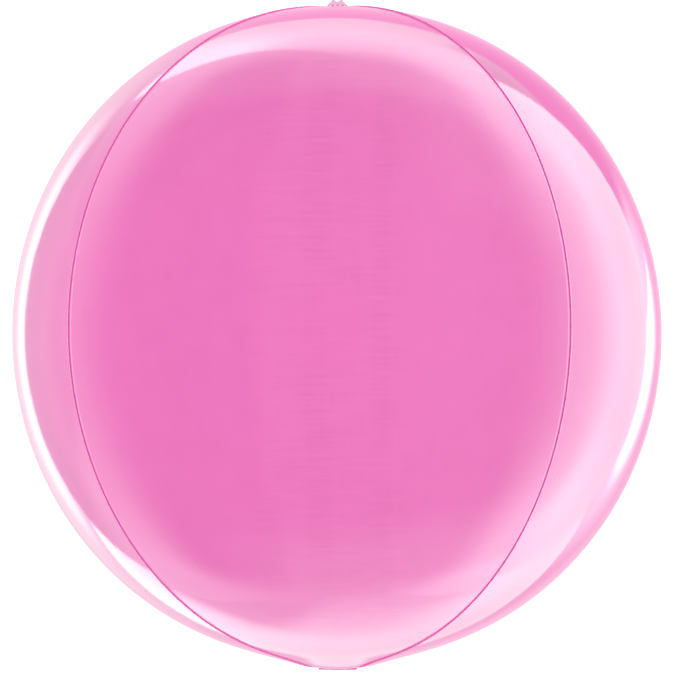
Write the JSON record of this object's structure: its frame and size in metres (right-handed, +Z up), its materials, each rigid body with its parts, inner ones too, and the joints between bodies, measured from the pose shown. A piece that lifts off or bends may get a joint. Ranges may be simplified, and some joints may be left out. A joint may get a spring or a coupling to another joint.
{
  "type": "sphere foil balloon",
  "caption": "Round foil balloon of four welded film panels with ridged seams, a small hanging tab and a folded inflation neck, lying on its back.",
  "frame": {"origin": "middle of the small flat under the back panel that the balloon rests on", "axes": "+Z up, out of the middle of the front panel; +Y along the pole axis, towards the hanging tab; +X towards the right panel"},
  "size_m": [0.38, 0.3975, 0.3784],
  "materials": {
    "pink_foil": "smooth glossy pink metallised film",
    "welded_foil": "several layers of the pink film welded flat, a little darker and duller"
  },
  "bodies": {
    "root": {"front_panel": "pink_foil", "right_panel": "pink_foil", "back_panel": "pink_foil", "left_panel": "pink_foil", "hanging_tab": "welded_foil", "inflation_neck": "welded_foil"}
  },
  "joints": []
}
